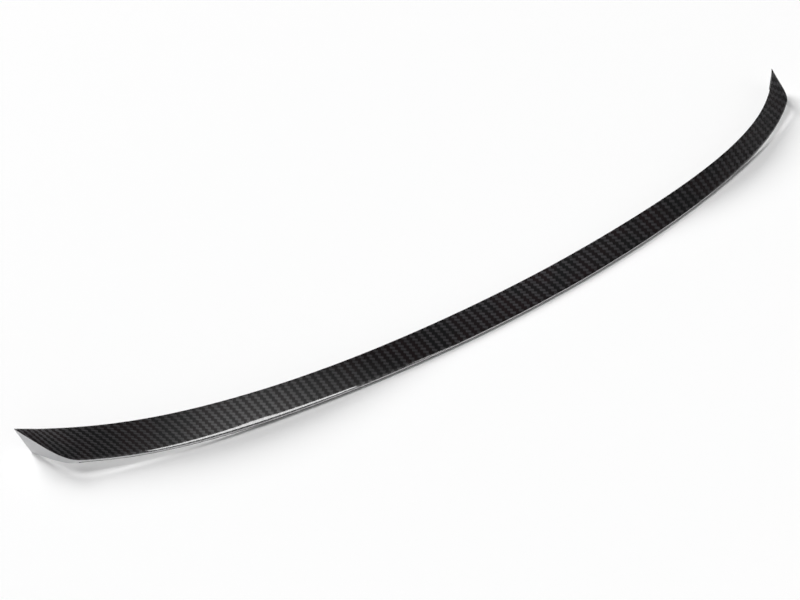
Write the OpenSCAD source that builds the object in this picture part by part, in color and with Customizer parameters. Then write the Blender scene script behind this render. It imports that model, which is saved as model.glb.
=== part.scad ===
// Rear lip spoiler for a saloon's boot lid: one thin moulded composite shell.
// In plan it is a shallow bow whose ends sweep forward to points. Its glossy top face starts almost
// level at mid-span and twists as the front edge climbs towards the ends. A short rear wall turns
// down from the crest, runs round the oblique end cuts and comes down to a heel at each end.
// The underside is open and follows the outside at the shell's thickness.
//
// Origin: middle of the rear wall's foot at mid-span, on the plane that the spoiler stands on.
// +X runs to the right-hand tip, +Y to the front of the car, +Z up. All sizes are in millimetres.

/* [Plan] */
// Length from tip to tip
span = 1200; // [1000:10:1400]
// Depth of the top face at mid-span, from the rear crest to the front edge
centre_depth = 37.5; // [30:0.1:50]
// Forward reach of the rear crest's even bow, measured at the tips
rear_bow = 89.4; // [70:0.2:100]
// Extra forward reach of the rear crest close to the ends
rear_sweep = 32.4; // [20:0.1:38]
// Forward reach of the front edge's even bow, measured at the tips
front_bow = 6.2; // [0:0.2:20]
// Extra forward reach of the front edge towards the tips
front_sweep = 116.4; // [106:0.2:130]

/* [Oblique ends] */
// Distance along X from the rounded end corner to the tip
end_run = 26.8; // [24:0.2:36]
// Distance along X from the rounded end corner to the heel, the lowest point of the end wall
heel_run = 21.5; // [12:0.5:23.5]
// Blend width that rounds the end corner in plan
corner_round = 16; // [4:0.5:20]
// Blend width that rounds the foot where it turns down to the heel
foot_round = 16.5; // [4:0.5:20]
// Blend width that eases the crest into the rising end edge
crest_ease = 8.5; // [1:0.5:12]
// Depth of the small blunt land at each tip
tip_land = 1.2; // [0.8:0.1:3]

/* [Heights] */
// Height of the front edge's top line at mid-span
front_height = 10.1; // [8:0.1:20]
// Extra height of the front edge towards the ends
front_rise = 20.9; // [10:0.1:30]
// Distance from mid-span over which the front edge climbs
rise_run = 454; // [300:1:500]
// Half of the length over which the foot is flat and stands on the floor
foot_flat = 286; // [200:1:380]
// Height of the foot at the rounded end corner
corner_lift = 11.9; // [8:0.1:16]

/* [Section] */
// Thickness of the moulded shell
shell_t = 1.8; // [1.2:0.1:2.5]
// Height of the rear wall from the foot to the crest
wall_height = 4.1; // [3.5:0.1:9]
// How far the foot sits in from the crest, so the rear wall is undercut
wall_undercut = 0.9; // [0:0.1:2]
// Rise of the top face's crown between the front edge and the crest
crown = 0.8; // [0:0.1:2.5]
// Distance along each face at which the rounding of the crest begins
crest_round = 1.8; // [0.6:0.1:2.2]

/* [Smoothness] */
// Steps from mid-span to a heel, closer together towards the heel
heel_steps = 74; // [40:2:84]
// Steps from a heel to its tip
tip_steps = 5; // [3:1:8]
// Steps across the top face
face_steps = 6; // [4:1:8]
// Steps round the crest
crest_steps = 4; // [2:1:6]

/* [Hidden] */
half = span / 2;
corner_x = half - end_run;
heel_x = corner_x + heel_run;
// Powers of the bow curves: higher ones keep the sweep closer to the tips
even_bow = 2;
front_sweep_power = 4;
rear_sweep_power = 8;
foot_lift_power = 3;
// Angle of the sine that spaces the stations between mid-span and a heel
station_turn = 80;
// Step in X for measuring a curve's slope
slope_step = 0.5;
// Greatest share of a narrow section that the wall, the plate or the crest rounding may take
share_max = 0.45;

// Ease from 0 to 1 with level ends
function ease(t) = let(c = min(1, max(0, t))) c * c * (3 - 2 * c);

// Larger and smaller of two values, with a rounded corner where they cross
function blend_max(a, b, width) = max(a, b) + pow(max(0, width - abs(a - b)), 2) / (4 * width);
function blend_min(a, b, width) = min(a, b) - pow(max(0, width - abs(a - b)), 2) / (4 * width);

function reach(x) = abs(x) / half;
function end_share(x) = (abs(x) - corner_x) / end_run;

// Front edge: where it lies in plan, and its height
function front_y(x) =
    centre_depth + front_bow * pow(reach(x), even_bow) + front_sweep * pow(reach(x), front_sweep_power);
function front_z(x) = front_height + front_rise * ease(abs(x) / rise_run);

// Rear crest in plan: the bow, the oblique end cut, and the two joined by the rounded corner
function bow_y(x) = rear_bow * pow(reach(x), even_bow) + rear_sweep * pow(reach(x), rear_sweep_power);
function cut_y(x) = bow_y(corner_x) + end_share(x) * (front_y(half) - tip_land - bow_y(corner_x));
function rear_y(x) = min(front_y(x) - tip_land, blend_max(bow_y(x), cut_y(x), corner_round));

// Foot: flat at mid-span, lifting to the corner, down to the heel, then raked up to the tip
function bow_foot(x) =
    corner_lift * pow(max(0, (abs(x) - foot_flat) / (corner_x - foot_flat)), foot_lift_power);
function fall_foot(x) = bow_foot(corner_x) * (heel_x - abs(x)) / heel_run;
function rake_foot(x) = (front_z(half) - shell_t) * (abs(x) - heel_x) / (half - heel_x);
function foot_z(x) = max(blend_min(bow_foot(x), fall_foot(x), foot_round), rake_foot(x), 0);

// Crest height: one wall above the foot along the bow, then rising with the end cut to the tip
function bow_crest(x) = bow_foot(x) + wall_height;
function cut_crest(x) = bow_crest(corner_x) + end_share(x) * (front_z(half) - bow_crest(corner_x));
function crest_z(x) = min(front_z(x), blend_max(bow_crest(x), cut_crest(x), crest_ease));

// Slopes along X, for the true thickness of a wall that is cut by an X plane
function rear_slope(x) = (rear_y(x + slope_step) - rear_y(x - slope_step)) / (2 * slope_step);
function face_slope(x) = (front_z(x + slope_step) - front_z(x - slope_step)) / (2 * slope_step);
function wall_across(x) =
    min(shell_t * sqrt(1 + pow(rear_slope(x), 2)), share_max * (front_y(x) - rear_y(x)));
function face_tilt(x) = (front_z(x) - crest_z(x)) / (front_y(x) - rear_y(x));
function plate_down(x) =
    min(shell_t * sqrt(1 + pow(face_tilt(x), 2) + pow(face_slope(x), 2)), share_max * (crest_z(x) - foot_z(x)));
function undercut_across(x) =
    min(wall_undercut * (1 - ease(end_share(x))), share_max * (front_y(x) - rear_y(x)) / 2);

// Outer skin of the top face at a share v of the way from the front edge to the crest
function face_point(x, v) = [
    front_y(x) + v * (rear_y(x) - front_y(x)),
    front_z(x) + v * (crest_z(x) - front_z(x)) + 4 * v * (1 - v) * crown * (front_y(x) - rear_y(x)) / centre_depth
];

// Section at one X as [Y, Z] points: the outside from front edge to foot, then back along the inside
function section(x) = let(
    front = face_point(x, 0),
    crest = face_point(x, 1),
    foot = [crest.x + undercut_across(x), foot_z(x)],
    width = front.x - crest.x,
    height = crest.y - foot.y,
    ease_v = min(crest_round / norm(front - crest), share_max),
    ease_down = min(crest_round / height, share_max),
    from = face_point(x, 1 - ease_v),
    to = crest + (foot - crest) * ease_down,
    wall = wall_across(x),
    plate = plate_down(x),
    inner_v = 1 - (foot.x + wall - crest.x) / width,
    inner_corner = face_point(x, inner_v) - [0, plate]
) concat(
    [for (i = [0 : face_steps]) face_point(x, i / face_steps * (1 - ease_v))],
    [for (i = [1 : crest_steps]) let(t = i / crest_steps)
        pow(1 - t, 2) * from + 2 * t * (1 - t) * crest + t * t * to],
    [foot, foot + [wall, 0]],
    [for (i = [face_steps : -1 : 0]) face_point(x, i / face_steps * inner_v) - [0, plate]]
);

// Skin through the sections of a row of stations, closed by the first and the last section
module loft(stations) {
    rings = [for (x = stations) [for (p = section(x)) [x, p.x, p.y]]];
    count = len(rings[0]);
    last = len(rings) - 1;
    polyhedron(
        points = [for (ring = rings) each ring],
        faces = concat(
            [[for (i = [0 : count - 1]) i]],
            [for (r = [0 : last - 1]) for (i = [0 : count - 1]) let(
                a = r * count + i,
                b = r * count + (i + 1) % count
            ) each [[a, a + count, b + count], [a, b + count, b]]],
            [[for (i = [count - 1 : -1 : 0]) last * count + i]]
        ),
        convexity = 6
    );
}

// Stations of one half, outwards from mid-span, with one exactly on the heel
function half_stations() = concat(
    [for (i = [1 : heel_steps]) heel_x * sin(station_turn * i / heel_steps) / sin(station_turn)],
    [for (i = [1 : tip_steps]) heel_x + (half - heel_x) * i / tip_steps]
);

// Stations from tip to tip, the same on both sides of mid-span
function stations() = let(right = half_stations(), count = len(right)) concat(
    [for (i = [count - 1 : -1 : 0]) -right[i]],
    [0],
    right
);

module spoiler_shell() {
    foot_middle = wall_undercut + shell_t / 2;
    color([0.11, 0.11, 0.12]) translate([0, -foot_middle, 0]) loft(stations());
}

spoiler_shell();
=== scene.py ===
"""Looks of a rear lip spoiler: one thin shell with a glossy twill face and a pale satin rear wall.

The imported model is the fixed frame. The shell is built again here by a Geometry Nodes tree from the
same formulas as the part, with finer steps and softened edges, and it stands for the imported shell.
Lengths are millimetres in the sizes and in the formulas, and metres in the scene.
"""

import logging
import math
from collections.abc import Callable
from dataclasses import dataclass, field, fields
from enum import Enum
from typing import Any, Union

import bmesh
import bpy
from mathutils import Matrix, Vector

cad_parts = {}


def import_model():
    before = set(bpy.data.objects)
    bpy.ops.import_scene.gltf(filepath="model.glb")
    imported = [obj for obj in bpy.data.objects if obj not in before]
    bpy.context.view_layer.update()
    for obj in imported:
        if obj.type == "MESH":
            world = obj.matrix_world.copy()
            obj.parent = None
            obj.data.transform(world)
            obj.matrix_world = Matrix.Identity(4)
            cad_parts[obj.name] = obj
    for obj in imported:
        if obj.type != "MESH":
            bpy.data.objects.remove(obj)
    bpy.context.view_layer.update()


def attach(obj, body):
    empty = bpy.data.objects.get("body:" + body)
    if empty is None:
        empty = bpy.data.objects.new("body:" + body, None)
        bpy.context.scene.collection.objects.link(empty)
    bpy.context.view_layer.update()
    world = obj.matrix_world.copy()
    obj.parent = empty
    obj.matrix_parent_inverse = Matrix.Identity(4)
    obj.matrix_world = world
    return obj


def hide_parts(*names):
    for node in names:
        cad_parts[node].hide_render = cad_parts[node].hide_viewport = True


log = logging.getLogger("spoiler")

MM = 0.001
# Points that lie closer together than this, in metres, are joined into one
WELD = 1e-6
# Index of refraction of resin, lacquer and primer
RESIN_IOR = 1.5


def linear(hex_code: str) -> tuple[float, float, float, float]:
    """Turns an sRGB hex colour to linear.

    Args:
        hex_code: Six hex digits after a hash sign.

    Returns:
        Red, green, blue and an alpha of 1, as a colour socket takes them.
    """
    channels = [int(hex_code[i:i + 2], 16) / 255 for i in (1, 3, 5)]
    red, green, blue = (
        c / 12.92 if c <= 0.04045 else ((c + 0.055) / 1.055) ** 2.4 for c in channels)
    return red, green, blue, 1.0


def add_node(tree: bpy.types.NodeTree, kind: str, settings: dict[str, Any],
             links: dict[Union[str, int], Any]) -> bpy.types.Node:
    """Adds a node with its settings and links.

    Args:
        tree: The tree that the node goes into.
        kind: The node's Blender type name.
        settings: Properties of the node.
        links: For each input's name or number, the term or socket that feeds it, or its value.

    Returns:
        The new node.
    """
    node = tree.nodes.new(kind)
    for name, value in settings.items():
        setattr(node, name, value)
    for key, source in links.items():
        source = source.socket if isinstance(source, Term) else source
        if isinstance(source, bpy.types.NodeSocket):
            tree.links.new(source, node.inputs[key])
        else:
            node.inputs[key].default_value = source
    return node


def empty_material(name: str) -> bpy.types.Material:
    """Starts a material whose node tree is still empty."""
    material = bpy.data.materials.new(name)
    material.use_nodes = True
    material.node_tree.nodes.clear()
    return material


def noise_scale(patch: float) -> float:
    """Scale of a noise texture whose patches are about this many millimetres long."""
    return 0.5 / (patch * MM)


def input_title(size_name: str) -> str:
    """Title of a size's input in the Geometry Nodes tree."""
    return size_name.replace("_", " ").capitalize()


Value = Union["Term", float]


class Term:
    """A number in a node tree, so that formulas on it can be written as plain arithmetic."""

    def __init__(self, tree: bpy.types.NodeTree, socket: bpy.types.NodeSocket) -> None:
        """Keeps the tree and the output socket that gives the number."""
        self.tree = tree
        self.socket = socket

    def math(self, operation: str, *inputs: Value) -> "Term":
        """Adds one Math node.

        Args:
            operation: The node's operation.
            inputs: Its inputs, in order.

        Returns:
            The node's result.
        """
        links = dict(enumerate(inputs))
        node = add_node(self.tree, "ShaderNodeMath", {"operation": operation}, links)
        return Term(self.tree, node.outputs[0])

    def __add__(self, other: Value) -> "Term":
        """This number plus the other."""
        return self.math("ADD", self, other)

    def __radd__(self, other: float) -> "Term":
        """The other number plus this one."""
        return self.math("ADD", other, self)

    def __sub__(self, other: Value) -> "Term":
        """This number less the other."""
        return self.math("SUBTRACT", self, other)

    def __rsub__(self, other: float) -> "Term":
        """The other number less this one."""
        return self.math("SUBTRACT", other, self)

    def __mul__(self, other: Value) -> "Term":
        """This number times the other."""
        return self.math("MULTIPLY", self, other)

    def __rmul__(self, other: float) -> "Term":
        """The other number times this one."""
        return self.math("MULTIPLY", other, self)

    def __truediv__(self, other: Value) -> "Term":
        """This number divided by the other."""
        return self.math("DIVIDE", self, other)

    def __rtruediv__(self, other: float) -> "Term":
        """The other number divided by this one."""
        return self.math("DIVIDE", other, self)

    def __pow__(self, power: float) -> "Term":
        """This number to a power."""
        return self.math("POWER", self, power)

    def __abs__(self) -> "Term":
        """This number without its sign."""
        return self.math("ABSOLUTE", self)

    def root(self) -> "Term":
        """The square root of this number."""
        return self.math("SQRT", self)

    def at_most(self, other: Value) -> "Term":
        """The smaller of this number and the other."""
        return self.math("MINIMUM", self, other)

    def at_least(self, other: Value) -> "Term":
        """The larger of this number and the other."""
        return self.math("MAXIMUM", self, other)

    def limited(self) -> "Term":
        """This number, kept between 0 and 1."""
        return self.at_least(0.0).at_most(1.0)

    def below(self, other: Value) -> "Term":
        """1 where this number is less than the other, and 0 elsewhere."""
        return self.math("LESS_THAN", self, other)

    def wrapped(self, length: float) -> "Term":
        """This number, repeated from 0 up to a length."""
        return self.math("FLOORED_MODULO", self, length)

    def floor(self) -> "Term":
        """The whole number just below this one."""
        return self.math("FLOOR", self)


def ease(share: Term) -> Term:
    """Eases from 0 to 1 with level ends, as a share runs from 0 to 1."""
    kept = share.limited()
    return kept * kept * (3.0 - 2.0 * kept)


def arch(share: Value) -> Value:
    """Rises from 0 to 1 and falls back to 0, as a share runs from 0 to 1."""
    return 4.0 * share * (1.0 - share)


def overlap(a: Term, b: Term, width: Term) -> Term:
    """How much the corner where two curves cross is filled, over a blend width."""
    near = (width - abs(a - b)).at_least(0.0)
    return near * near / (4.0 * width)


def blend(a: Value, b: Value, share: Value) -> Value:
    """Goes from a to b as the share goes from 0 to 1."""
    return a + (b - a) * share


@dataclass(frozen=True)
class Spot:
    """A point of a section that is cut across the span."""

    y: Term
    z: Term

    def __add__(self, other: "Spot") -> "Spot":
        """This point moved by the other."""
        return Spot(self.y + other.y, self.z + other.z)

    def __sub__(self, other: "Spot") -> "Spot":
        """The step from the other point to this one."""
        return Spot(self.y - other.y, self.z - other.z)

    def __mul__(self, factor: Value) -> "Spot":
        """This step made longer or shorter."""
        return Spot(self.y * factor, self.z * factor)

    def length(self) -> Term:
        """The length of this step."""
        return (self.y * self.y + self.z * self.z).root()


@dataclass(frozen=True)
class ShellSizes:
    """Sizes of the shell in millimetres, with the same names and values as in the part.

    The last three are only here: how far before the crest its rounding begins on the top face, and
    the softening of the edges and of the corner inside.
    """

    span: float = 1200.0
    centre_depth: float = 37.5
    rear_bow: float = 89.4
    rear_sweep: float = 32.4
    front_bow: float = 6.2
    front_sweep: float = 116.4
    end_run: float = 26.8
    heel_run: float = 21.5
    corner_round: float = 16.0
    foot_round: float = 16.5
    crest_ease: float = 8.5
    tip_land: float = 1.2
    front_height: float = 10.1
    front_rise: float = 20.9
    rise_run: float = 454.0
    foot_flat: float = 286.0
    corner_lift: float = 11.9
    shell_t: float = 1.8
    wall_height: float = 4.1
    wall_undercut: float = 0.9
    crown: float = 0.8
    crest_round: float = 1.8
    crest_lead: float = 3.4
    edge_round: float = 0.4
    inner_round: float = 1.2


class Run(Enum):
    """Runs of points round a section, in order from the front edge."""

    FRONT_TOP_EDGE = "rounded top of the front edge"
    TOP_FACE = "top face"
    CREST = "rounded crest"
    WALL = "rear wall"
    FOOT_OUTER_EDGE = "rounded outer edge of the foot"
    FOOT = "foot"
    FOOT_INNER_EDGE = "rounded inner edge of the foot"
    INNER_WALL = "inside of the rear wall"
    INNER_CORNER = "fillet between the inside faces"
    UNDERSIDE = "underside of the top face"
    FRONT_LOWER_EDGE = "rounded lower side of the front edge"
    FRONT_EDGE = "front edge"


STEPS: dict[Run, int] = {
    Run.FRONT_TOP_EDGE: 4,
    Run.TOP_FACE: 18,
    Run.CREST: 12,
    Run.WALL: 5,
    Run.FOOT_OUTER_EDGE: 3,
    Run.FOOT: 1,
    Run.FOOT_INNER_EDGE: 3,
    Run.INNER_WALL: 2,
    Run.INNER_CORNER: 6,
    Run.UNDERSIDE: 16,
    Run.FRONT_LOWER_EDGE: 4,
    Run.FRONT_EDGE: 1,
}


def first_step(run: Run) -> int:
    """Number of steps round a section before a run begins."""
    order = list(Run)
    return sum(STEPS[earlier] for earlier in order[:order.index(run)])


RING_STEPS = sum(STEPS.values())


class ShellFormulas:
    """The part's own formulas, written as terms of a Geometry Nodes tree."""

    FRONT_SWEEP_POWER = 4.0
    REAR_SWEEP_POWER = 8.0
    FOOT_LIFT_POWER = 3.0
    SLOPE_STEP = 0.5
    SHARE_MAX = 0.45
    EDGE_SHARE_MAX = 0.3

    def __init__(self, sizes: dict[str, Term]) -> None:
        """Keeps the tree's inputs and works out the places along the span.

        Args:
            sizes: The tree's inputs by the names of ShellSizes.
        """
        for name, term in sizes.items():
            setattr(self, name, term)
        self.half = self.span / 2.0
        self.corner_x = self.half - self.end_run
        self.heel_x = self.corner_x + self.heel_run

    def front_y(self, x: Term) -> Term:
        """Where the front edge lies in plan."""
        reach = abs(x) / self.half
        sweep = self.front_sweep * reach ** self.FRONT_SWEEP_POWER
        return self.centre_depth + self.front_bow * reach * reach + sweep

    def front_z(self, x: Term) -> Term:
        """Height of the front edge."""
        return self.front_height + self.front_rise * ease(abs(x) / self.rise_run)

    def end_share(self, x: Term) -> Term:
        """Share of the way from the rounded end corner to the tip."""
        return (abs(x) - self.corner_x) / self.end_run

    def bow_y(self, x: Term) -> Term:
        """The rear crest's bow in plan."""
        reach = abs(x) / self.half
        return self.rear_bow * reach * reach + self.rear_sweep * reach ** self.REAR_SWEEP_POWER

    def rear_y(self, x: Term) -> Term:
        """The rear crest in plan: the bow, the oblique end cut and their rounded corner."""
        bow = self.bow_y(x)
        corner = self.bow_y(self.corner_x)
        cut = corner + self.end_share(x) * (self.front_y(self.half) - self.tip_land - corner)
        joined = bow.at_least(cut) + overlap(bow, cut, self.corner_round)
        return joined.at_most(self.front_y(x) - self.tip_land)

    def bow_foot(self, x: Term) -> Term:
        """Height of the foot along the bow: flat at mid-span, lifting towards the corner."""
        share = ((abs(x) - self.foot_flat) / (self.corner_x - self.foot_flat)).at_least(0.0)
        return self.corner_lift * share ** self.FOOT_LIFT_POWER

    def foot_z(self, x: Term) -> Term:
        """Height of the foot: the bow's, down to the heel, then raked up to the tip."""
        bow = self.bow_foot(x)
        fall = self.bow_foot(self.corner_x) * (self.heel_x - abs(x)) / self.heel_run
        top = self.front_z(self.half) - self.shell_t
        rake = top * (abs(x) - self.heel_x) / (self.half - self.heel_x)
        joined = bow.at_most(fall) - overlap(bow, fall, self.foot_round)
        return joined.at_least(rake).at_least(0.0)

    def crest_z(self, x: Term) -> Term:
        """Height of the crest: one wall above the foot, then rising with the end cut to the tip."""
        bow = self.bow_foot(x) + self.wall_height
        corner = self.bow_foot(self.corner_x) + self.wall_height
        cut = corner + self.end_share(x) * (self.front_z(self.half) - corner)
        joined = bow.at_least(cut) + overlap(bow, cut, self.crest_ease)
        return joined.at_most(self.front_z(x))

    def slope(self, curve: Callable[[Term], Term], x: Term) -> Term:
        """Slope of one of the curves along the span."""
        return (curve(x + self.SLOPE_STEP) - curve(x - self.SLOPE_STEP)) / (2.0 * self.SLOPE_STEP)


@dataclass(frozen=True)
class Corner:
    """A corner of the section, softened between two points on its sides."""

    start: Spot
    tip: Spot
    end: Spot

    def step(self, share: Term) -> Spot:
        """How far the soft corner has gone from its start at a share of its length."""
        rest = 1.0 - share
        first, last = self.tip - self.start, self.end - self.start
        return first * (2.0 * share * rest) + last * (share * share)


class Section:
    """The closed section of the shell at one place along the span."""

    def __init__(self, shell: ShellFormulas, x: Term) -> None:
        """Works out the section's corners and the softened points beside them.

        Args:
            shell: The part's formulas.
            x: Place along the span, in millimetres.
        """
        self.shell = shell
        self.front = Spot(shell.front_y(x), shell.front_z(x))
        self.crest = Spot(shell.rear_y(x), shell.crest_z(x))
        foot_z = shell.foot_z(x)
        self.depth = self.front.y - self.crest.y
        self.width = (self.front - self.crest).length()
        drop = self.crest.z - foot_z
        most = self.depth * shell.SHARE_MAX
        self.undercut = (shell.wall_undercut * (1.0 - ease(shell.end_share(x)))).at_most(most / 2.0)
        bank = shell.slope(shell.rear_y, x)
        self.wall = (shell.shell_t * (1.0 + bank * bank).root()).at_most(most)
        tilt = (self.front.z - self.crest.z) / self.depth
        climb = shell.slope(shell.front_z, x)
        thick = shell.shell_t * (1.0 + tilt * tilt + climb * climb).root()
        self.plate = thick.at_most(drop * shell.SHARE_MAX)
        self.foot_out = Spot(self.crest.y + self.undercut, foot_z)
        self.foot_in = Spot(self.foot_out.y + self.wall, foot_z)
        self.inner_share = 1.0 - (self.undercut + self.wall) / self.depth

    def face(self, share: Value, down: Value = 0.0) -> Spot:
        """A point of the crowned top face.

        Args:
            share: Share of the way from the front edge to the crest.
            down: How far below the outer skin the point lies.

        Returns:
            The point.
        """
        shell = self.shell
        rise = arch(share) * shell.crown * self.depth / shell.centre_depth
        y = self.front.y - self.depth * share
        z = self.front.z + (self.crest.z - self.front.z) * share + rise - down
        return Spot(y, z)

    def soften(self, along: Term, size: Term) -> Term:
        """Share of a side that a softened edge takes."""
        return (size / along).at_most(self.shell.EDGE_SHARE_MAX)

    def outline(self, ring: Term) -> Spot:
        """The point at a number of steps round the section.

        Args:
            ring: Steps from the front edge, over the crest and back along the inside.

        Returns:
            The point, as the first point plus the part of each run that has been passed.
        """
        shell, edge = self.shell, self.shell.edge_round
        edge_v = self.soften(self.width, edge)
        crest_v = (shell.crest_lead / self.width).at_most(shell.SHARE_MAX)
        edge_plate = self.soften(self.plate, edge)
        wall_step = self.foot_out - self.crest
        crest_w = (shell.crest_round / (self.crest.z - self.foot_out.z)).at_most(shell.SHARE_MAX)
        foot_w = 1.0 - self.soften(wall_step.length(), edge)
        foot_edge = self.wall * self.soften(self.wall, edge)
        inner_top = self.face(self.inner_share, self.plate)
        inner_height = inner_top.z - self.foot_in.z
        inner_edge = inner_height * self.soften(inner_height, edge)
        inner_fill = inner_height * self.soften(inner_height, shell.inner_round)
        inner_v = self.inner_share * (1.0 - self.soften(self.width, shell.inner_round))
        lower = self.face(0.0, self.plate)
        none = self.plate * 0.0

        front_edge = [Spot(self.front.y, self.front.z - self.plate * share)
                      for share in (edge_plate, 1.0 - edge_plate)]
        face_ends = [self.face(edge_v), self.face(1.0 - crest_v)]
        wall_ends = [self.crest + wall_step * share for share in (crest_w, foot_w)]
        foot_ends = [self.foot_out + Spot(foot_edge, none), self.foot_in - Spot(foot_edge, none)]
        inner_ends = [self.foot_in + Spot(none, inner_edge), inner_top - Spot(none, inner_fill)]
        under_ends = [self.face(inner_v, self.plate), self.face(edge_v, self.plate)]

        def passed(run: Run) -> Term:
            """Share of a run that lies before this point of the ring."""
            return ((ring - float(first_step(run))) / float(STEPS[run])).limited()

        def straight(run: Run, ends: list[Spot]) -> Spot:
            """Part of a straight run that has been passed."""
            return (ends[1] - ends[0]) * passed(run)

        top_v = blend(edge_v, 1.0 - crest_v, passed(Run.TOP_FACE))
        under_v = blend(inner_v, edge_v, passed(Run.UNDERSIDE))
        steps = [
            Corner(front_edge[0], self.front, face_ends[0]).step(passed(Run.FRONT_TOP_EDGE)),
            self.face(top_v) - face_ends[0],
            Corner(face_ends[1], self.crest, wall_ends[0]).step(passed(Run.CREST)),
            straight(Run.WALL, wall_ends),
            Corner(wall_ends[1], self.foot_out, foot_ends[0]).step(passed(Run.FOOT_OUTER_EDGE)),
            straight(Run.FOOT, foot_ends),
            Corner(foot_ends[1], self.foot_in, inner_ends[0]).step(passed(Run.FOOT_INNER_EDGE)),
            straight(Run.INNER_WALL, inner_ends),
            Corner(inner_ends[1], inner_top, under_ends[0]).step(passed(Run.INNER_CORNER)),
            self.face(under_v, self.plate) - under_ends[0],
            Corner(under_ends[1], lower, front_edge[1]).step(passed(Run.FRONT_LOWER_EDGE)),
            straight(Run.FRONT_EDGE, front_edge[::-1]),
        ]
        point = front_edge[0]
        for step in steps:
            point = point + step
        return point

    def middle(self) -> Spot:
        """A point inside the section, where an end cap's faces meet."""
        return (self.front + self.foot_out) * 0.5


@dataclass
class SpoilerShell:
    """The shell: the object's only piece.

    Attributes:
        sizes: Its sizes.
        heel_steps: Steps from mid-span to a heel.
        tip_steps: Steps from a heel to its tip.
        station_turn: Angle of the sine that sets the steps closer together towards the heel.
        face_steps_on_crest: Steps of the crest's rounding that the twill face covers.
        grey_steps_above_painted_shade: Steps of the wall that are grey along the bow. Below them the
            dark twill face stays on the wall as painted shade, for the contact shadow under the wall.
        bow_end: Distance from mid-span at which the end cut begins; past it the painted shade stops
            and the wall is grey to its foot.
        weave_growth: How much wider the tows lie at the right-hand tip than at mid-span.
        skew_at_middle: How far the cloth is pulled askew at mid-span, as a slope.
        skew_rise: How much more it is pulled askew at the tips.
    """

    sizes: ShellSizes = field(default_factory=ShellSizes)
    heel_steps: int = 330
    tip_steps: int = 14
    station_turn: float = 80.0
    face_steps_on_crest: int = 8
    # Below these grey steps, along the bow, the wall's dark band is painted shade for the contact
    # shadow
    grey_steps_above_painted_shade: int = 3
    bow_end: float = 562.0
    weave_growth: float = 0.4
    skew_at_middle: float = -0.17
    skew_rise: float = 0.6

    def inputs(self, tree: bpy.types.NodeTree) -> dict[str, Term]:
        """Adds the tree's named inputs for the sizes.

        Args:
            tree: The shell's Geometry Nodes tree.

        Returns:
            Each input as a term, by the name of its size.
        """
        group = tree.nodes.new("NodeGroupInput")
        terms = {}
        for size in fields(self.sizes):
            title = input_title(size.name)
            tree.interface.new_socket(title, in_out="INPUT", socket_type="NodeSocketFloat")
            terms[size.name] = Term(tree, group.outputs[title])
        return terms

    def station_x(self, shell: ShellFormulas, row: Term) -> tuple[Term, Term]:
        """Places a row of the grid along the span, with one row exactly on each heel.

        Args:
            shell: The part's formulas.
            row: The row's number, which is 0 at mid-span and below 0 on the left.

        Returns:
            The row's place, and 1 for the extra row at each end whose points all meet.
        """
        turn = math.radians(self.station_turn)
        last = float(self.heel_steps + self.tip_steps)
        count = abs(row).at_most(last)
        inner = (count / float(self.heel_steps)).at_most(1.0)
        swing = (inner * turn).math("SINE", inner * turn) / math.sin(turn)
        outer = ((count - float(self.heel_steps)) / float(self.tip_steps)).at_least(0.0)
        place = shell.heel_x * swing + (shell.half - shell.heel_x) * outer
        return place * row.math("SIGN", row), 1.0 - abs(row).below(last + 0.5)

    def cloth(self, shell: ShellFormulas, section: Section, point: Spot,
              x: Term) -> tuple[Term, Term]:
        """Where a point lies on the flat cloth.

        The tows grow slowly wider towards +X, and the cloth is pulled askew along the strip: the
        lengthwise place moves with the crosswise one, by a slope that changes towards the tips.

        Args:
            shell: The part's formulas.
            section: The section that the point lies in.
            point: The point.
            x: Its place along the span.

        Returns:
            The place along the cloth and across it, from the strip's middle line, in millimetres of
            cloth as it lies at mid-span.
        """
        # Length of a parabola, to the first term of its series
        bow = (shell.rear_bow + shell.front_bow) / (shell.half * shell.half)
        along = x + x * x * x * bow * bow / 1.5
        across = section.width / 2.0 - (point - section.front).length()
        growth = self.weave_growth / shell.half
        width = 1.0 + along * growth
        across = across / width
        reach = x / shell.half
        skew = self.skew_at_middle + self.skew_rise * reach * reach
        return width.math("LOGARITHM", width, math.e) / growth + across * skew, across

    def tree(self, finishes: dict[str, bpy.types.Material]) -> bpy.types.NodeTree:
        """Builds the Geometry Nodes tree that lofts the shell.

        Args:
            finishes: The materials "face", "wall" and "inside".

        Returns:
            The tree.
        """
        tree = bpy.data.node_groups.new("Lofted spoiler shell", "GeometryNodeTree")
        shell = ShellFormulas(self.inputs(tree))
        rows = 2 * (self.heel_steps + self.tip_steps + 1)
        grid = add_node(tree, "GeometryNodeMeshGrid", {}, {
            "Size X": 1.0, "Size Y": 1.0, "Vertices X": rows + 1, "Vertices Y": RING_STEPS + 1})
        place = add_node(tree, "GeometryNodeInputPosition", {}, {})
        split = add_node(tree, "ShaderNodeSeparateXYZ", {}, {0: place.outputs[0]})
        row = Term(tree, split.outputs[0]) * float(rows)
        face_ring = (Term(tree, split.outputs[1]) + 0.5) * float(RING_STEPS)
        row = row.math("ROUND", row)
        ring = face_ring.math("ROUND", face_ring)

        x, is_cap = self.station_x(shell, row)
        section = Section(shell, x)
        point = section.outline(ring)
        along, across = self.cloth(shell, section, point, x)
        centre = section.middle()
        y = blend(point.y, centre.y, is_cap) - (shell.wall_undercut + shell.shell_t / 2.0)
        z = blend(point.z, centre.z, is_cap)
        seat = add_node(tree, "ShaderNodeCombineXYZ", {}, {0: x * MM, 1: y * MM, 2: z * MM})
        cloth = add_node(tree, "ShaderNodeCombineXYZ", {}, {0: along * MM, 1: across * MM})

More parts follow.
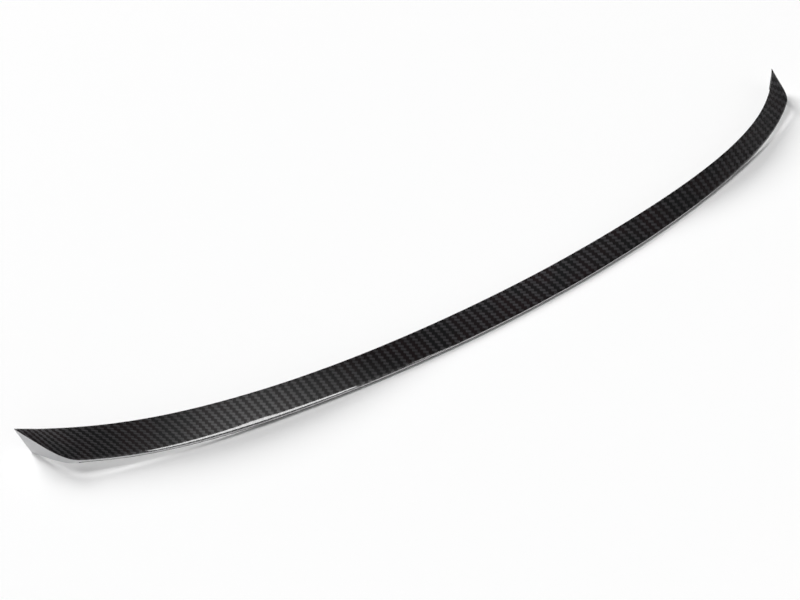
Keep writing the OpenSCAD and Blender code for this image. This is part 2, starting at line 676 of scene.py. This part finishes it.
        stored = grid
        for name, value, data_type, domain in (
            ("cloth", cloth.outputs[0], "FLOAT2", "CORNER"),
            ("ring", face_ring, "FLOAT", "FACE"),
        ):
            stored = add_node(tree, "GeometryNodeStoreNamedAttribute",
                              {"data_type": data_type, "domain": domain},
                              {"Geometry": stored.outputs[0], "Name": name, "Value": value})
        moved = add_node(tree, "GeometryNodeSetPosition", {},
                         {"Geometry": stored.outputs[0], "Position": seat.outputs[0]})
        closed = add_node(tree, "GeometryNodeMergeByDistance", {},
                          {"Geometry": moved.outputs[0], "Distance": WELD})
        smooth = add_node(tree, "GeometryNodeSetShadeSmooth", {}, {"Geometry": closed.outputs[0]})
        whole = add_node(tree, "GeometryNodeRealizeInstances", {}, {"Geometry": smooth.outputs[0]})

        kept = add_node(tree, "GeometryNodeInputNamedAttribute", {"data_type": "FLOAT"},
                        {"Name": "ring"})
        ring_number = Term(tree, kept.outputs[0])
        geometry = whole.outputs[0]
        # Along the bow the grey stops a few steps down the wall and the dark twill face stays below
        # it: painted shade for the contact shadow under the wall. Past bow_end the wall is grey to
        # its foot.
        on_bow = abs(Term(tree, split.outputs[0])).below(self.bow_end * MM)
        face_end = float(first_step(Run.CREST) + self.face_steps_on_crest)
        foot_end = float(first_step(Run.FOOT_INNER_EDGE))
        wall_end = blend(foot_end, float(first_step(Run.WALL) + self.grey_steps_above_painted_shade), on_bow)
        for name, first, last in (
            ("inside", 0.0, float(RING_STEPS)),
            ("face", 0.0, foot_end),
            ("wall", face_end, wall_end),
        ):
            chosen = ring_number.below(last) * (1.0 - ring_number.below(first))
            dressed = add_node(tree, "GeometryNodeSetMaterial", {}, {
                "Geometry": geometry, "Selection": chosen, "Material": finishes[name]})
            geometry = dressed.outputs[0]
        tree.interface.new_socket("Geometry", in_out="OUTPUT", socket_type="NodeSocketGeometry")
        add_node(tree, "NodeGroupOutput", {}, {0: geometry})
        return tree

    def build(self, finishes: dict[str, bpy.types.Material]) -> bpy.types.Object:
        """Makes the shell as a plain closed mesh.

        Args:
            finishes: The materials "face", "wall" and "inside".

        Returns:
            The finished piece, riding on the part's body.
        """
        tree = self.tree(finishes)
        piece = bpy.data.objects.new("lip_shell", bpy.data.meshes.new("lip_shell"))
        bpy.context.collection.objects.link(piece)
        modifier = piece.modifiers.new("Loft", "NODES")
        modifier.node_group = tree
        for size in fields(self.sizes):
            socket = tree.interface.items_tree[input_title(size.name)]
            modifier[socket.identifier] = getattr(self.sizes, size.name)
        graph = bpy.context.evaluated_depsgraph_get()
        mesh = bpy.data.meshes.new_from_object(piece.evaluated_get(graph), depsgraph=graph)
        piece.modifiers.clear()
        piece.data = mesh
        mesh.name = "lip_shell"
        mesh.attributes.remove(mesh.attributes["ring"])
        shape = bmesh.new()
        shape.from_mesh(mesh)
        bmesh.ops.recalc_face_normals(shape, faces=shape.faces)
        shape.to_mesh(mesh)
        shape.free()
        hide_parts("spoiler_shell")
        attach(piece, "root")
        log.info("%s: %d faces", piece.name, len(mesh.polygons))
        return piece


@dataclass(frozen=True)
class TowColours:
    """Colours of a carbon cloth in its resin.

    The weft looks dark and turns cool or warm in patches. The warp is the same black fibre; its paler
    colour is painted sheen for the light that the fibres reflect as their direction turns, and its
    crowns carry a painted highlight.

    Attributes:
        gap: Resin in the gaps between tows.
        cool: Weft where a patch is cool.
        warm: Weft where a patch is warm.
        warp: Warp, paler than the weft as painted sheen.
        glint: Painted highlight along the crowns of the warp.
    """

    gap: str = "#060606"
    cool: str = "#101112"
    warm: str = "#190f11"
    # Paler than the weft as painted sheen, not as a paler fibre
    warp: str = "#2c2b2d"
    # Painted highlight on the warp's crowns
    glint: str = "#434144"


@dataclass(frozen=True)
class TwillFace:
    """Carbon fibre twill laminate, laid in a mould and lacquered.

    To the eye it is near-black ribs with fine paler dashes, under a smooth gloss coat that mirrors
    the room. The paler ribs are painted sheen and the dashes are painted highlights, in the cloth's
    colour.

    Attributes:
        tows: Colours of the cloth, which hold painted sheen and painted highlights.
        roughness: Roughness of the cloth under the coat.
        weft_gloss: Specular level of the weft.
        warp_gloss: Specular level of the warp.
        relief: Height of the tows, in millimetres.
        relief_strength: Share of that height that shows.
        coat_roughness: Roughness of the coat.
    """

    tows: TowColours = field(default_factory=TowColours)
    roughness: float = 0.42
    weft_gloss: float = 0.08
    warp_gloss: float = 0.24
    relief: float = 0.15
    relief_strength: float = 0.3
    coat_roughness: float = 0.04

    def material(self) -> bpy.types.Material:
        """Builds the material.

        Returns:
            The finished material.
        """
        material = empty_material("Lacquered 2x2 twill carbon laminate")
        tree = material.node_tree
        weave = Weave(tree)
        bump = add_node(tree, "ShaderNodeBump", {}, {
            "Strength": self.relief_strength, "Distance": self.relief * MM, "Height": weave.height})
        surface = add_node(tree, "ShaderNodeBsdfPrincipled", {}, {
            # The cloth's colour holds painted sheen on the warp and painted highlights on its crowns
            "Base Color": weave.colour(self.tows),
            "Roughness": self.roughness,
            "IOR": RESIN_IOR,
            "Specular IOR Level": blend(self.weft_gloss, self.warp_gloss, weave.warp_on_top),
            "Coat Weight": 1.0,
            "Coat Roughness": self.coat_roughness,
            "Coat IOR": RESIN_IOR,
            "Normal": bump.outputs[0],
        })
        add_node(tree, "ShaderNodeOutputMaterial", {}, {"Surface": surface.outputs[0]})
        return material


class Weave:
    """A 2x2 twill of flat tows, read from the piece's own cloth map.

    Real tows are about 2 mm wide, which is under two pixels. These are drawn wider, to show and to
    give the ribs of the photo.

    Attributes:
        TOW: Width of a tow at mid-span, in millimetres.
        LEAN: Angle of the ribs' spacing from the strip's own direction, in degrees.
        REPEAT: Tows in one repeat of the twill.
        FLOAT: Tows that a tow passes over at a time.
        DIP: Height of a tow where it goes under, as a share of its height on top.
        CROWN_POWER: How narrow the painted highlight along a tow's top is.
        FIBRES_ACROSS: Scale of the fibre noise across a tow.
        FIBRES_ALONG: Scale of the fibre noise along a tow.
        PATCH: Length of the patches of uneven resin, in millimetres.
        PATCH_CONTRAST: How sharply those patches differ.
        WARP_SHOWN: Least and most that the warp's paler colour, which is painted sheen, shows from
            float to float.
        GLINT_OF_FLOAT: Least and most painted highlight, from float to float.
        GLINT_OF_FIBRE: Painted highlight where the fibre noise is 0 and where it is 1.
        GAP_EDGE: How steeply a tow's colour begins beside a gap.
    """

    TOW = 3.8
    LEAN = 15.0
    REPEAT = 4.0
    FLOAT = 2.0
    DIP = 0.35
    CROWN_POWER = 6.0
    FIBRES_ACROSS = 9.0
    FIBRES_ALONG = 0.7
    PATCH = 25.0
    PATCH_CONTRAST = 5.0
    WARP_SHOWN = (0.7, 1.0)
    GLINT_OF_FLOAT = (0.5, 1.3)
    GLINT_OF_FIBRE = (0.3, 1.9)
    GAP_EDGE = 8.0

    def __init__(self, tree: bpy.types.NodeTree) -> None:
        """Works out which tow lies on top at each place and how high it stands.

        Args:
            tree: The material's tree.
        """
        self.tree = tree
        cloth = add_node(tree, "ShaderNodeUVMap", {"uv_map": "cloth"}, {})
        split = add_node(tree, "ShaderNodeSeparateXYZ", {}, {0: cloth.outputs[0]})
        along, across = Term(tree, split.outputs[0]), Term(tree, split.outputs[1])
        size = self.TOW * MM
        first, second = (math.radians(self.LEAN + turn) for turn in (45.0, -45.0))
        a = (along * math.cos(first) + across * math.sin(first)) / size
        b = (along * math.cos(second) + across * math.sin(second)) / size
        column, line = a.floor(), b.floor()
        b_place, a_place = b + column, a + line
        b_phase, a_phase = b_place.wrapped(self.REPEAT), a_place.wrapped(self.REPEAT)
        self.warp_on_top = b_phase.below(self.FLOAT)
        side = blend(b - line, a - column, self.warp_on_top)
        run = blend(a_phase / self.FLOAT - 1.0, b_phase / self.FLOAT, self.warp_on_top)
        hump = arch(run)
        self.ridge = arch(side)
        self.height = self.ridge.root() * blend(self.DIP, 1.0, hump)
        # Mask of the painted highlight along the warp's crowns
        self.crown = self.warp_on_top * hump.root() * self.ridge ** self.CROWN_POWER

        # One random value for each float of each tow
        tow_number = blend(line, column, self.warp_on_top)
        float_place = blend(a_place / self.REPEAT, b_place / self.REPEAT, self.warp_on_top)
        spot = add_node(tree, "ShaderNodeCombineXYZ", {}, {
            0: tow_number, 1: float_place.floor(), 2: self.warp_on_top})
        chance = add_node(tree, "ShaderNodeTexWhiteNoise", {"noise_dimensions": "3D"},
                          {0: spot.outputs[0]})
        self.chance = Term(tree, chance.outputs[0])

        length = blend(a, b, self.warp_on_top)
        across_tow = blend(b, a, self.warp_on_top)
        thread = add_node(tree, "ShaderNodeCombineXYZ", {}, {
            0: across_tow * self.FIBRES_ACROSS, 1: length * self.FIBRES_ALONG})
        clouds = []
        for place, scale in ((thread, 1.0), (cloth, noise_scale(self.PATCH))):
            noise = add_node(tree, "ShaderNodeTexNoise", {"noise_dimensions": "2D"}, {
                "Vector": place.outputs[0], "Scale": scale, "Detail": 1.0})
            clouds.append(Term(tree, noise.outputs[0]))
        self.fibres, self.patch = clouds

    def colour(self, tows: TowColours) -> bpy.types.NodeSocket:
        """Colours the tows, painting sheen on the warp and highlights on its crowns.

        Args:
            tows: The colours.

        Returns:
            The colour's socket.
        """
        patch = (self.patch - 0.5) * self.PATCH_CONTRAST + 0.5
        # Share of the warp's paler colour: painted sheen for the light that the fibres reflect as
        # their direction turns
        warp = self.warp_on_top * blend(*self.WARP_SHOWN, self.chance)
        # Painted highlight along the warp's crowns, varied from float to float and fibre to fibre
        glint = (self.crown * blend(*self.GLINT_OF_FLOAT, self.chance)
                 * blend(*self.GLINT_OF_FIBRE, self.fibres))
        # Each row goes from its first colour to its second; None is the result of the row before
        rows = (
            (patch, tows.cool, tows.warm),
            (warp, None, tows.warp),
            (glint, None, tows.glint),
            (self.ridge * self.GAP_EDGE, tows.gap, None),
        )
        shown = None
        for share, first, second in rows:
            ends = [shown if colour is None else linear(colour) for colour in (first, second)]
            mix = add_node(self.tree, "ShaderNodeMix", {"data_type": "RGBA"}, {
                0: share.limited(), 6: ends[0], 7: ends[1]})
            shown = mix.outputs[2]
        return shown


@dataclass(frozen=True)
class SatinWall:
    """Pale grey surfacing primer on the rear wall: even and satin, with a fine sprayed grain.

    Attributes:
        colour: Its paler tone.
        shade: Its darker tone.
        cloud: Length of the soft patches of the two, in millimetres.
        grain: Width of the sprayed grain, in millimetres.
        grain_height: Height of the grain, in millimetres.
        grain_strength: Share of that height that shows.
        roughness: Its roughness.
        gloss: Its specular level.
    """

    colour: str = "#dededf"
    shade: str = "#d3d3d5"
    cloud: float = 20.0
    grain: float = 0.9
    grain_height: float = 0.05
    grain_strength: float = 0.15
    roughness: float = 0.5
    gloss: float = 0.4

    def material(self) -> bpy.types.Material:
        """Builds the material.

        Returns:
            The finished material.
        """
        material = empty_material("Sprayed grey surfacing primer")
        tree = material.node_tree
        place = add_node(tree, "ShaderNodeTexCoord", {}, {})
        cloud, speck = (
            add_node(tree, "ShaderNodeTexNoise", {}, {
                "Vector": place.outputs["Object"], "Scale": noise_scale(patch), "Detail": detail})
            for patch, detail in ((self.cloud, 2.0), (self.grain, 1.0))
        )
        colour = add_node(tree, "ShaderNodeMix", {"data_type": "RGBA"}, {
            0: cloud.outputs[0], 6: linear(self.shade), 7: linear(self.colour)})
        bump = add_node(tree, "ShaderNodeBump", {}, {
            "Strength": self.grain_strength, "Distance": self.grain_height * MM,
            "Height": speck.outputs[0]})
        surface = add_node(tree, "ShaderNodeBsdfPrincipled", {}, {
            "Base Color": colour.outputs[2], "Roughness": self.roughness, "IOR": RESIN_IOR,
            "Specular IOR Level": self.gloss, "Normal": bump.outputs[0]})
        add_node(tree, "ShaderNodeOutputMaterial", {}, {"Surface": surface.outputs[0]})
        return material


@dataclass(frozen=True)
class RawInside:
    """The laminate's unlacquered inside: dull black resin over the same weave.

    Attributes:
        tows: Colours of the cloth, with the same painted sheen on the warp and painted highlights on
            its crowns.
        roughness: Roughness of the resin.
        relief: Height of the tows, in millimetres.
        relief_strength: Share of that height that shows.
    """

    # The warp's paler colour and the last colour are painted sheen and painted highlight here too
    tows: TowColours = TowColours("#0c0c0c", "#191a1b", "#1d1b1b", "#2b2b2d", "#4a4a4c")
    roughness: float = 0.6
    relief: float = 0.3
    relief_strength: float = 0.8

    def material(self) -> bpy.types.Material:
        """Builds the material.

        Returns:
            The finished material.
        """
        material = empty_material("Raw carbon laminate")
        tree = material.node_tree
        weave = Weave(tree)
        bump = add_node(tree, "ShaderNodeBump", {}, {
            "Strength": self.relief_strength, "Distance": self.relief * MM, "Height": weave.height})
        surface = add_node(tree, "ShaderNodeBsdfPrincipled", {}, {
            "Base Color": weave.colour(self.tows), "Roughness": self.roughness, "IOR": RESIN_IOR,
            "Normal": bump.outputs[0]})
        add_node(tree, "ShaderNodeOutputMaterial", {}, {"Surface": surface.outputs[0]})
        return material


def direction(azimuth: float, elevation: float) -> Vector:
    """Unit vector towards a place in the room.

    Args:
        azimuth: Degrees from the car's rear round to its right-hand side.
        elevation: Degrees above the floor.

    Returns:
        The vector.
    """
    turn, rise = math.radians(azimuth), math.radians(elevation)
    level = math.cos(rise)
    return Vector((math.sin(turn) * level, -math.cos(turn) * level, math.sin(rise)))


@dataclass
class Studio:
    """The floor, the light and the camera.

    Attributes:
        azimuth: The camera's direction in degrees, from the car's rear round to the right.
        elevation: Its height above the floor in degrees.
        distance: Its distance from its aim, in metres.
        roll: Its turn about its line of sight, in degrees.
        focal_pixels: Its focal length, in pixels of the photo.
        aim: The point that it looks at, in metres.
        frame_width: Width of the photo, in pixels.
        sensor: Width of its sensor, in millimetres.
        floor_reach: Distance from the part to the floor's edges, in metres.
        fill: Level of the room's even light.
        glow: How much the glow adds to it.
        glow_turn: How far the glow is turned to the left of the car's rear, as a slope.
        glow_full_to: Elevation up to which the glow is full, in degrees.
        glow_gone_at: Elevation at which it has faded out, in degrees.
        glow_side_end: Cosine of its sideways angle where it begins.
        glow_side_fade: How much more of that cosine makes it full.
        gloss_aim: The point that the cards face, in metres.
        card_distance: Their distance from that point, in metres.
    """

    azimuth: float = -36.118
    elevation: float = 42.340
    distance: float = 1.1207
    roll: float = -0.690
    focal_pixels: float = 940.07
    aim: tuple[float, float, float] = (-0.15904, 0.10581, 0.0)
    frame_width: float = 800.0
    sensor: float = 36.0
    floor_reach: float = 6.0
    fill: float = 0.1
    glow: float = 0.28
    glow_turn: float = 0.14
    glow_full_to: float = 34.0
    glow_gone_at: float = 72.0
    glow_side_end: float = 0.55
    glow_side_fade: float = 0.35
    gloss_aim: tuple[float, float, float] = (-0.39, 0.05, 0.02)
    card_distance: float = 5.0

    def camera(self) -> None:
        """Places the camera at the photo's viewpoint."""
        back = direction(self.azimuth, self.elevation)
        level = (-back).cross(Vector((0.0, 0.0, 1.0))).normalized()
        upright = level.cross(-back)
        roll = math.radians(self.roll)
        right = level * math.cos(roll) + upright * math.sin(roll)
        up = upright * math.cos(roll) - level * math.sin(roll)
        data = bpy.data.cameras.new("Camera")
        data.sensor_width = self.sensor
        data.lens = self.focal_pixels / self.frame_width * self.sensor
        camera = bpy.data.objects.new("Camera", data)
        turn = Matrix((right, up, back)).transposed().to_4x4()
        camera.matrix_world = Matrix.Translation(Vector(self.aim) + back * self.distance) @ turn
        bpy.context.collection.objects.link(camera)
        bpy.context.scene.camera = camera

    def floor(self) -> None:
        """Lays a matt white paper floor under the part."""
        mesh = bpy.data.meshes.new("floor")
        corners = [(side_x * self.floor_reach, side_y * self.floor_reach, 0.0)
                   for side_x, side_y in ((-1, -1), (1, -1), (1, 1), (-1, 1))]
        mesh.from_pydata(corners, [], [(0, 1, 2, 3)])
        floor = bpy.data.objects.new("floor", mesh)
        bpy.context.collection.objects.link(floor)
        material = empty_material("Matt white background paper")
        tree = material.node_tree
        surface = add_node(tree, "ShaderNodeBsdfPrincipled", {}, {
            "Base Color": linear("#fdfdfd"), "Roughness": 0.9, "Specular IOR Level": 0.1})
        add_node(tree, "ShaderNodeOutputMaterial", {}, {"Surface": surface.outputs[0]})
        mesh.materials.append(material)

    def room(self) -> None:
        """Fills the room with a dim even light and a soft low glow on the car's rear side."""
        world = bpy.data.worlds.new("Studio")
        world.use_nodes = True
        tree = world.node_tree
        tree.nodes.clear()
        place = add_node(tree, "ShaderNodeTexCoord", {}, {})
        split = add_node(tree, "ShaderNodeSeparateXYZ", {}, {0: place.outputs["Generated"]})
        x, y, z = (Term(tree, split.outputs[axis]) for axis in range(3))
        # Level length of the ray, kept above 0 because the next line divides by it
        level = (1.0 - z * z).at_least(0.0001).root()
        facing = (-1.0 * y - self.glow_turn * x) / level
        rises = (self.glow_full_to, self.glow_gone_at)
        low, high = (math.sin(math.radians(rise)) for rise in rises)
        upward = ease((high - z) / (high - low))
        glow = upward * ease((facing - self.glow_side_end) / self.glow_side_fade)
        # White to the camera beyond the floor's edge. There is no metal or glass to mirror that
        # white, and the lacquer in the photo mirrors a dim room.
        path = add_node(tree, "ShaderNodeLightPath", {}, {})
        seen = Term(tree, path.outputs["Is Camera Ray"])
        strength = blend(self.fill + self.glow * glow, 1.0, seen)
        light = add_node(tree, "ShaderNodeBackground", {}, {0: linear("#ffffff"), 1: strength})
        add_node(tree, "ShaderNodeOutputWorld", {}, {"Surface": light.outputs[0]})
        bpy.context.scene.world = world

    def hang(self, data: bpy.types.Light, place: Vector, toward: Vector) -> bpy.types.Object:
        """Puts a light into the scene.

        Args:
            data: The light's settings.
            place: Where it hangs.
            toward: Direction that it shines from.

        Returns:
            The light.
        """
        light = bpy.data.objects.new(data.name, data)
        turn = toward.to_track_quat("Z", "Y").to_matrix().to_4x4()
        light.matrix_world = Matrix.Translation(place) @ turn
        bpy.context.collection.objects.link(light)
        return light

    def sun(self, name: str, azimuth: float, elevation: float, level: float, spread: float) -> None:
        """Adds one far soft light, which lights the whole floor evenly.

        Args:
            name: The light's name.
            azimuth: Direction in degrees, from the car's rear round to its right-hand side.
            elevation: Height above the floor in degrees.
            level: Share of white that it gives a white floor.
            spread: Its apparent width in degrees.
        """
        data = bpy.data.lights.new(name, "SUN")
        data.energy = level * math.pi / math.sin(math.radians(elevation))
        data.angle = math.radians(spread)
        self.hang(data, Vector(), direction(azimuth, elevation))

    def card(self, name: str, azimuth: float, elevation: float, width: float, height: float,
             radiance: float) -> None:
        """Hangs one bright card that shows only in gloss, and lights nothing.

        Args:
            name: The card's name.
            azimuth: Direction of its middle in degrees, from the car's rear round to the right.
            elevation: Height of its middle in degrees.
            width: Apparent width in degrees.
            height: Apparent height in degrees.
            radiance: Brightness, where 1 is white.
        """
        away = self.card_distance
        sides = [2.0 * away * math.tan(math.radians(angle) / 2.0) for angle in (width, height)]
        data = bpy.data.lights.new(name, "AREA")
        data.shape = "RECTANGLE"
        data.size, data.size_y = sides
        data.energy = radiance * math.pi * sides[0] * sides[1]
        toward = direction(azimuth, elevation)
        light = self.hang(data, Vector(self.gloss_aim) + toward * away, toward)
        light.visible_camera = False
        light.visible_diffuse = False

    def lights(self) -> None:
        """Sets the studio's light."""
        self.room()
        self.sun("High window", azimuth=202.0, elevation=58.0, level=0.46, spread=26.0)
        self.sun("Low window", azimuth=188.0, elevation=29.0, level=0.4, spread=24.0)
        self.card("Long card", azimuth=-6.0, elevation=18.0, width=31.0, height=20.0,
                  radiance=15.0)
        self.card("Small card", azimuth=22.0, elevation=22.0, width=2.5, height=20.0,
                  radiance=16.0)


def main() -> None:
    """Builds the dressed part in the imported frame."""
    logging.basicConfig(level=logging.INFO, format="%(name)s: %(message)s")
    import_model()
    bpy.context.scene.view_settings.view_transform = "Standard"
    studio = Studio()
    studio.camera()
    studio.floor()
    studio.lights()
    finishes = {
        "face": TwillFace().material(),
        "wall": SatinWall().material(),
        "inside": RawInside().material(),
    }
    SpoilerShell().build(finishes)


if __name__ == "__main__":
    main()
